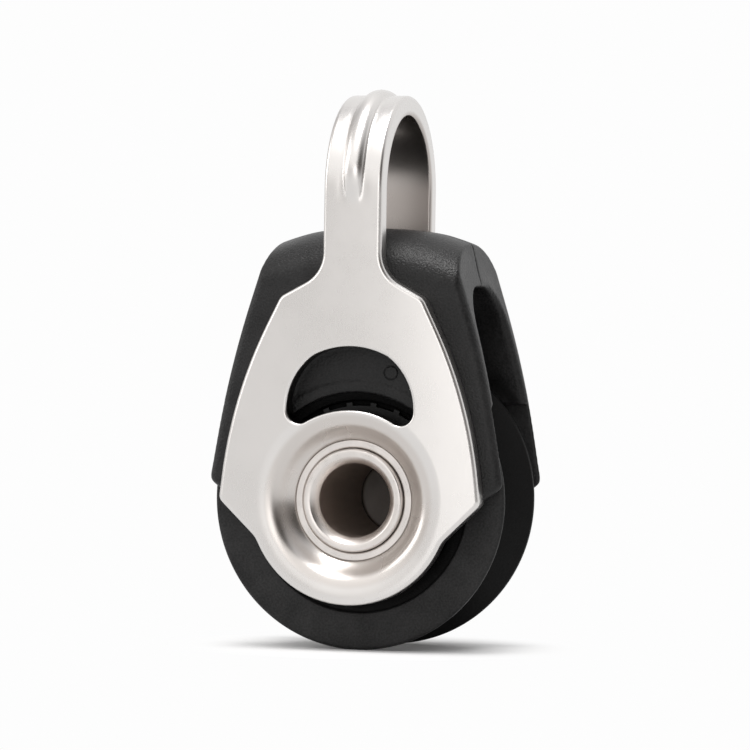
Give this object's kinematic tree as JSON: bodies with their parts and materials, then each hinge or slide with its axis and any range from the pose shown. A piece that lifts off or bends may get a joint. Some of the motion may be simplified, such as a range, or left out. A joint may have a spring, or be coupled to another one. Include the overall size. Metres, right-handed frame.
{
  "type": "pulley block",
  "caption": "Small single pulley block with a ball-bearing sheave between black cheeks, a bent metal strap forming the head eye, and a hollow axle.",
  "frame": {"origin": "centre of the hub bore, midway between the side plates", "axes": "+Y along the axle away from its mouth, +Z from the hub to the head eye, +X across the cheeks"},
  "size_m": [0.0304, 0.0206, 0.0561],
  "materials": {
    "strap_steel": "satin, fine vertical grain, polished dish and rounded edges",
    "hub_steel": "turned, bright",
    "race_steel": "ground",
    "cheek_plastic": "moulded, fine texture",
    "sheave_plastic": "moulded, smooth matte",
    "cage_plastic": "moulded, satin",
    "ball_plastic": "polished"
  },
  "bodies": {
    "block": {"head_strap": "strap_steel", "front_cheek": "cheek_plastic", "back_cheek": "cheek_plastic", "hub_tube": "hub_steel", "front_hub_ring": "hub_steel", "back_hub_ring": "hub_steel", "inner_race": "race_steel"},
    "sheave": {"sheave": "sheave_plastic"},
    "front_cage": {"front_ball_cage": "cage_plastic"},
    "back_cage": {"back_ball_cage": "cage_plastic"},
    "front_ball_01": {"front_ball_01": "ball_plastic"},
    "front_ball_02": {"front_ball_02": "ball_plastic"},
    "front_ball_03": {"front_ball_03": "ball_plastic"},
    "front_ball_04": {"front_ball_04": "ball_plastic"},
    "front_ball_05": {"front_ball_05": "ball_plastic"},
    "front_ball_06": {"front_ball_06": "ball_plastic"},
    "front_ball_07": {"front_ball_07": "ball_plastic"},
    "front_ball_08": {"front_ball_08": "ball_plastic"},
    "front_ball_09": {"front_ball_09": "ball_plastic"},
    "front_ball_10": {"front_ball_10": "ball_plastic"},
    "front_ball_11": {"front_ball_11": "ball_plastic"},
    "front_ball_12": {"front_ball_12": "ball_plastic"},
    "back_ball_01": {"back_ball_01": "ball_plastic"},
    "back_ball_02": {"back_ball_02": "ball_plastic"},
    "back_ball_03": {"back_ball_03": "ball_plastic"},
    "back_ball_04": {"back_ball_04": "ball_plastic"},
    "back_ball_05": {"back_ball_05": "ball_plastic"},
    "back_ball_06": {"back_ball_06": "ball_plastic"},
    "back_ball_07": {"back_ball_07": "ball_plastic"},
    "back_ball_08": {"back_ball_08": "ball_plastic"},
    "back_ball_09": {"back_ball_09": "ball_plastic"},
    "back_ball_10": {"back_ball_10": "ball_plastic"},
    "back_ball_11": {"back_ball_11": "ball_plastic"},
    "back_ball_12": {"back_ball_12": "ball_plastic"}
  },
  "joints": [
    {"name": "sheave_spin", "type": "hinge", "parent": "block", "child": "sheave", "pos_m": [0, 0, 0], "axis": [0, 1, 0], "continuous": true},
    {"name": "front_cage_spin", "type": "hinge", "parent": "block", "child": "front_cage", "pos_m": [0, -0.0031, 0], "axis": [0, 1, 0], "continuous": true},
    {"name": "back_cage_spin", "type": "hinge", "parent": "block", "child": "back_cage", "pos_m": [0, 0.0031, 0], "axis": [0, 1, 0], "continuous": true},
    {"name": "front_ball_01_roll", "type": "hinge", "parent": "front_cage", "child": "front_ball_01", "pos_m": [0.00785, -0.0031, 0], "axis": [0, 1, 0], "continuous": true},
    {"name": "front_ball_02_roll", "type": "hinge", "parent": "front_cage", "child": "front_ball_02", "pos_m": [0.0068, -0.0031, 0.00392], "axis": [0, 1, 0], "continuous": true},
    {"name": "front_ball_03_roll", "type": "hinge", "parent": "front_cage", "child": "front_ball_03", "pos_m": [0.00392, -0.0031, 0.0068], "axis": [0, 1, 0], "continuous": true},
    {"name": "front_ball_04_roll", "type": "hinge", "parent": "front_cage", "child": "front_ball_04", "pos_m": [0, -0.0031, 0.00785], "axis": [0, 1, 0], "continuous": true},
    {"name": "front_ball_05_roll", "type": "hinge", "parent": "front_cage", "child": "front_ball_05", "pos_m": [-0.00392, -0.0031, 0.0068], "axis": [0, 1, 0], "continuous": true},
    {"name": "front_ball_06_roll", "type": "hinge", "parent": "front_cage", "child": "front_ball_06", "pos_m": [-0.0068, -0.0031, 0.00392], "axis": [0, 1, 0], "continuous": true},
    {"name": "front_ball_07_roll", "type": "hinge", "parent": "front_cage", "child": "front_ball_07", "pos_m": [-0.00785, -0.0031, 0], "axis": [0, 1, 0], "continuous": true},
    {"name": "front_ball_08_roll", "type": "hinge", "parent": "front_cage", "child": "front_ball_08", "pos_m": [-0.0068, -0.0031, -0.00392], "axis": [0, 1, 0], "continuous": true},
    {"name": "front_ball_09_roll", "type": "hinge", "parent": "front_cage", "child": "front_ball_09", "pos_m": [-0.00392, -0.0031, -0.0068], "axis": [0, 1, 0], "continuous": true},
    {"name": "front_ball_10_roll", "type": "hinge", "parent": "front_cage", "child": "front_ball_10", "pos_m": [0, -0.0031, -0.00785], "axis": [0, 1, 0], "continuous": true},
    {"name": "front_ball_11_roll", "type": "hinge", "parent": "front_cage", "child": "front_ball_11", "pos_m": [0.00392, -0.0031, -0.0068], "axis": [0, 1, 0], "continuous": true},
    {"name": "front_ball_12_roll", "type": "hinge", "parent": "front_cage", "child": "front_ball_12", "pos_m": [0.0068, -0.0031, -0.00392], "axis": [0, 1, 0], "continuous": true},
    {"name": "back_ball_01_roll", "type": "hinge", "parent": "back_cage", "child": "back_ball_01", "pos_m": [0.00758, 0.0031, 0.00203], "axis": [0, 1, 0], "continuous": true},
    {"name": "back_ball_02_roll", "type": "hinge", "parent": "back_cage", "child": "back_ball_02", "pos_m": [0.00555, 0.0031, 0.00555], "axis": [0, 1, 0], "continuous": true},
    {"name": "back_ball_03_roll", "type": "hinge", "parent": "back_cage", "child": "back_ball_03", "pos_m": [0.00203, 0.0031, 0.00758], "axis": [0, 1, 0], "continuous": true},
    {"name": "back_ball_04_roll", "type": "hinge", "parent": "back_cage", "child": "back_ball_04", "pos_m": [-0.00203, 0.0031, 0.00758], "axis": [0, 1, 0], "continuous": true},
    {"name": "back_ball_05_roll", "type": "hinge", "parent": "back_cage", "child": "back_ball_05", "pos_m": [-0.00555, 0.0031, 0.00555], "axis": [0, 1, 0], "continuous": true},
    {"name": "back_ball_06_roll", "type": "hinge", "parent": "back_cage", "child": "back_ball_06", "pos_m": [-0.00758, 0.0031, 0.00203], "axis": [0, 1, 0], "continuous": true},
    {"name": "back_ball_07_roll", "type": "hinge", "parent": "back_cage", "child": "back_ball_07", "pos_m": [-0.00758, 0.0031, -0.00203], "axis": [0, 1, 0], "continuous": true},
    {"name": "back_ball_08_roll", "type": "hinge", "parent": "back_cage", "child": "back_ball_08", "pos_m": [-0.00555, 0.0031, -0.00555], "axis": [0, 1, 0], "continuous": true},
    {"name": "back_ball_09_roll", "type": "hinge", "parent": "back_cage", "child": "back_ball_09", "pos_m": [-0.00203, 0.0031, -0.00758], "axis": [0, 1, 0], "continuous": true},
    {"name": "back_ball_10_roll", "type": "hinge", "parent": "back_cage", "child": "back_ball_10", "pos_m": [0.00203, 0.0031, -0.00758], "axis": [0, 1, 0], "continuous": true},
    {"name": "back_ball_11_roll", "type": "hinge", "parent": "back_cage", "child": "back_ball_11", "pos_m": [0.00555, 0.0031, -0.00555], "axis": [0, 1, 0], "continuous": true},
    {"name": "back_ball_12_roll", "type": "hinge", "parent": "back_cage", "child": "back_ball_12", "pos_m": [0.00758, 0.0031, -0.00203], "axis": [0, 1, 0], "continuous": true}
  ],
  "couplings": [
    {"joint": "front_cage_spin", "follows": "sheave_spin", "ratio": 0.59554},
    {"joint": "back_cage_spin", "follows": "sheave_spin", "ratio": 0.59554},
    {"joint": "front_ball_01_roll", "follows": "sheave_spin", "ratio": 2.5211},
    {"joint": "front_ball_02_roll", "follows": "sheave_spin", "ratio": 2.5211},
    {"joint": "front_ball_03_roll", "follows": "sheave_spin", "ratio": 2.5211},
    {"joint": "front_ball_04_roll", "follows": "sheave_spin", "ratio": 2.5211},
    {"joint": "front_ball_05_roll", "follows": "sheave_spin", "ratio": 2.5211},
    {"joint": "front_ball_06_roll", "follows": "sheave_spin", "ratio": 2.5211},
    {"joint": "front_ball_07_roll", "follows": "sheave_spin", "ratio": 2.5211},
    {"joint": "front_ball_08_roll", "follows": "sheave_spin", "ratio": 2.5211},
    {"joint": "front_ball_09_roll", "follows": "sheave_spin", "ratio": 2.5211},
    {"joint": "front_ball_10_roll", "follows": "sheave_spin", "ratio": 2.5211},
    {"joint": "front_ball_11_roll", "follows": "sheave_spin", "ratio": 2.5211},
    {"joint": "front_ball_12_roll", "follows": "sheave_spin", "ratio": 2.5211},
    {"joint": "back_ball_01_roll", "follows": "sheave_spin", "ratio": 2.5211},
    {"joint": "back_ball_02_roll", "follows": "sheave_spin", "ratio": 2.5211},
    {"joint": "back_ball_03_roll", "follows": "sheave_spin", "ratio": 2.5211},
    {"joint": "back_ball_04_roll", "follows": "sheave_spin", "ratio": 2.5211},
    {"joint": "back_ball_05_roll", "follows": "sheave_spin", "ratio": 2.5211},
    {"joint": "back_ball_06_roll", "follows": "sheave_spin", "ratio": 2.5211},
    {"joint": "back_ball_07_roll", "follows": "sheave_spin", "ratio": 2.5211},
    {"joint": "back_ball_08_roll", "follows": "sheave_spin", "ratio": 2.5211},
    {"joint": "back_ball_09_roll", "follows": "sheave_spin", "ratio": 2.5211},
    {"joint": "back_ball_10_roll", "follows": "sheave_spin", "ratio": 2.5211},
    {"joint": "back_ball_11_roll", "follows": "sheave_spin", "ratio": 2.5211},
    {"joint": "back_ball_12_roll", "follows": "sheave_spin", "ratio": 2.5211}
  ]
}
